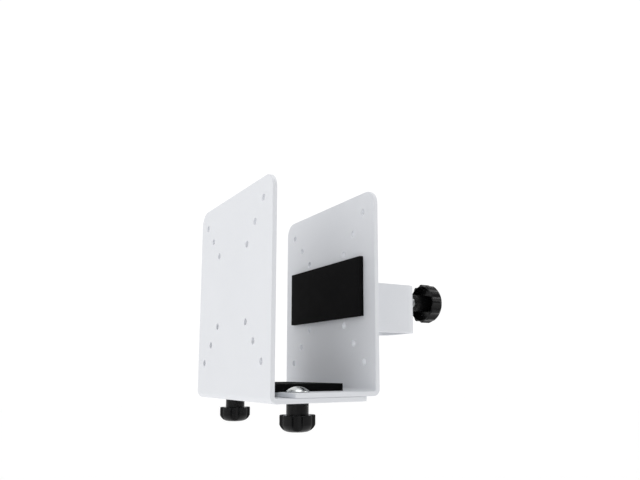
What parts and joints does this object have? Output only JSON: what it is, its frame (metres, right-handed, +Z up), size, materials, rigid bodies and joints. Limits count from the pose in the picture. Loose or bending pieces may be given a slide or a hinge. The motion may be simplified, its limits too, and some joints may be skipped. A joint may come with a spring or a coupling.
{
  "type": "cpu holder",
  "caption": "Adjustable steel bay for a small computer, with foam pads, hand knobs underneath and a screw clamp that holds it on an upright pole.",
  "frame": {"origin": "on the pole's axis, at the middle height of the strap that goes round it", "axes": "+Z up along the pole; -X from the pole towards the bay; -Y towards the open front of the bay"},
  "size_m": [0.1746, 0.127, 0.1553],
  "materials": {
    "bracket_coat": "white powder coat with a fine texture",
    "pad_foam": "black closed-cell foam sheet",
    "bolt_zinc": "bright zinc plate",
    "knob_nylon": "black moulded nylon",
    "washer_nylon": "black cut nylon sheet",
    "insert_brass": "plain turned brass",
    "saddle_nylon": "black moulded nylon",
    "liner_rubber": "black smooth rubber",
    "screw_steel": "zinc-plated steel"
  },
  "bodies": {
    "frame": {"right_bracket": "bracket_coat", "right_side_pad": "pad_foam", "bottom_pad": "pad_foam", "front_carriage_bolt": "bolt_zinc", "rear_carriage_bolt": "bolt_zinc", "clamp_strap": "bracket_coat", "pole_saddle": "saddle_nylon", "saddle_liner": "liner_rubber", "saddle_screws": "screw_steel", "saddle_inserts": "insert_brass", "clamp_weld_nut": "screw_steel"},
    "left_bracket": {"left_bracket": "bracket_coat", "left_side_pad": "pad_foam"},
    "front_washer": {"front_washer": "washer_nylon"},
    "front_knob": {"front_knob": "knob_nylon", "front_knob_insert": "insert_brass"},
    "rear_washer": {"rear_washer": "washer_nylon"},
    "rear_knob": {"rear_knob": "knob_nylon", "rear_knob_insert": "insert_brass"},
    "pressure_foot": {"pressure_foot": "screw_steel", "pressure_foot_cap": "liner_rubber"},
    "clamp_screw": {"clamp_knob": "knob_nylon", "clamp_stud": "screw_steel"}
  },
  "joints": [
    {"name": "bay_width", "type": "slide", "parent": "frame", "child": "left_bracket", "axis": [-1, 0, 0], "range_m": [-0.006, 0.035]},
    {"name": "front_washer_drop", "type": "slide", "parent": "frame", "child": "front_washer", "axis": [0, 0, 1], "range_m": [-0.00382, 0]},
    {"name": "front_knob_turn", "type": "hinge", "parent": "front_washer", "child": "front_knob", "pos_m": [-0.0895, -0.05, -0.0659], "axis": [0, 0, 1], "range_deg": [-1080, 0]},
    {"name": "rear_washer_drop", "type": "slide", "parent": "frame", "child": "rear_washer", "axis": [0, 0, 1], "range_m": [-0.00382, 0]},
    {"name": "rear_knob_turn", "type": "hinge", "parent": "rear_washer", "child": "rear_knob", "pos_m": [-0.0895, 0.05, -0.0659], "axis": [0, 0, 1], "range_deg": [-1080, 0]},
    {"name": "foot_travel", "type": "slide", "parent": "frame", "child": "pressure_foot", "axis": [1, 0, 0], "range_m": [-0.0045, 0.001]},
    {"name": "clamp_knob_turn", "type": "hinge", "parent": "pressure_foot", "child": "clamp_screw", "pos_m": [0.039, 0, 0.0075], "axis": [1, 0, 0], "range_deg": [-1622, 362]}
  ],
  "couplings": [
    {"joint": "front_washer_drop", "follows": "front_knob_turn", "m_per_rad": 0.00020213},
    {"joint": "rear_washer_drop", "follows": "rear_knob_turn", "m_per_rad": 0.00020213},
    {"joint": "clamp_knob_turn", "follows": "foot_travel", "rad_per_m": 6283.2}
  ]
}
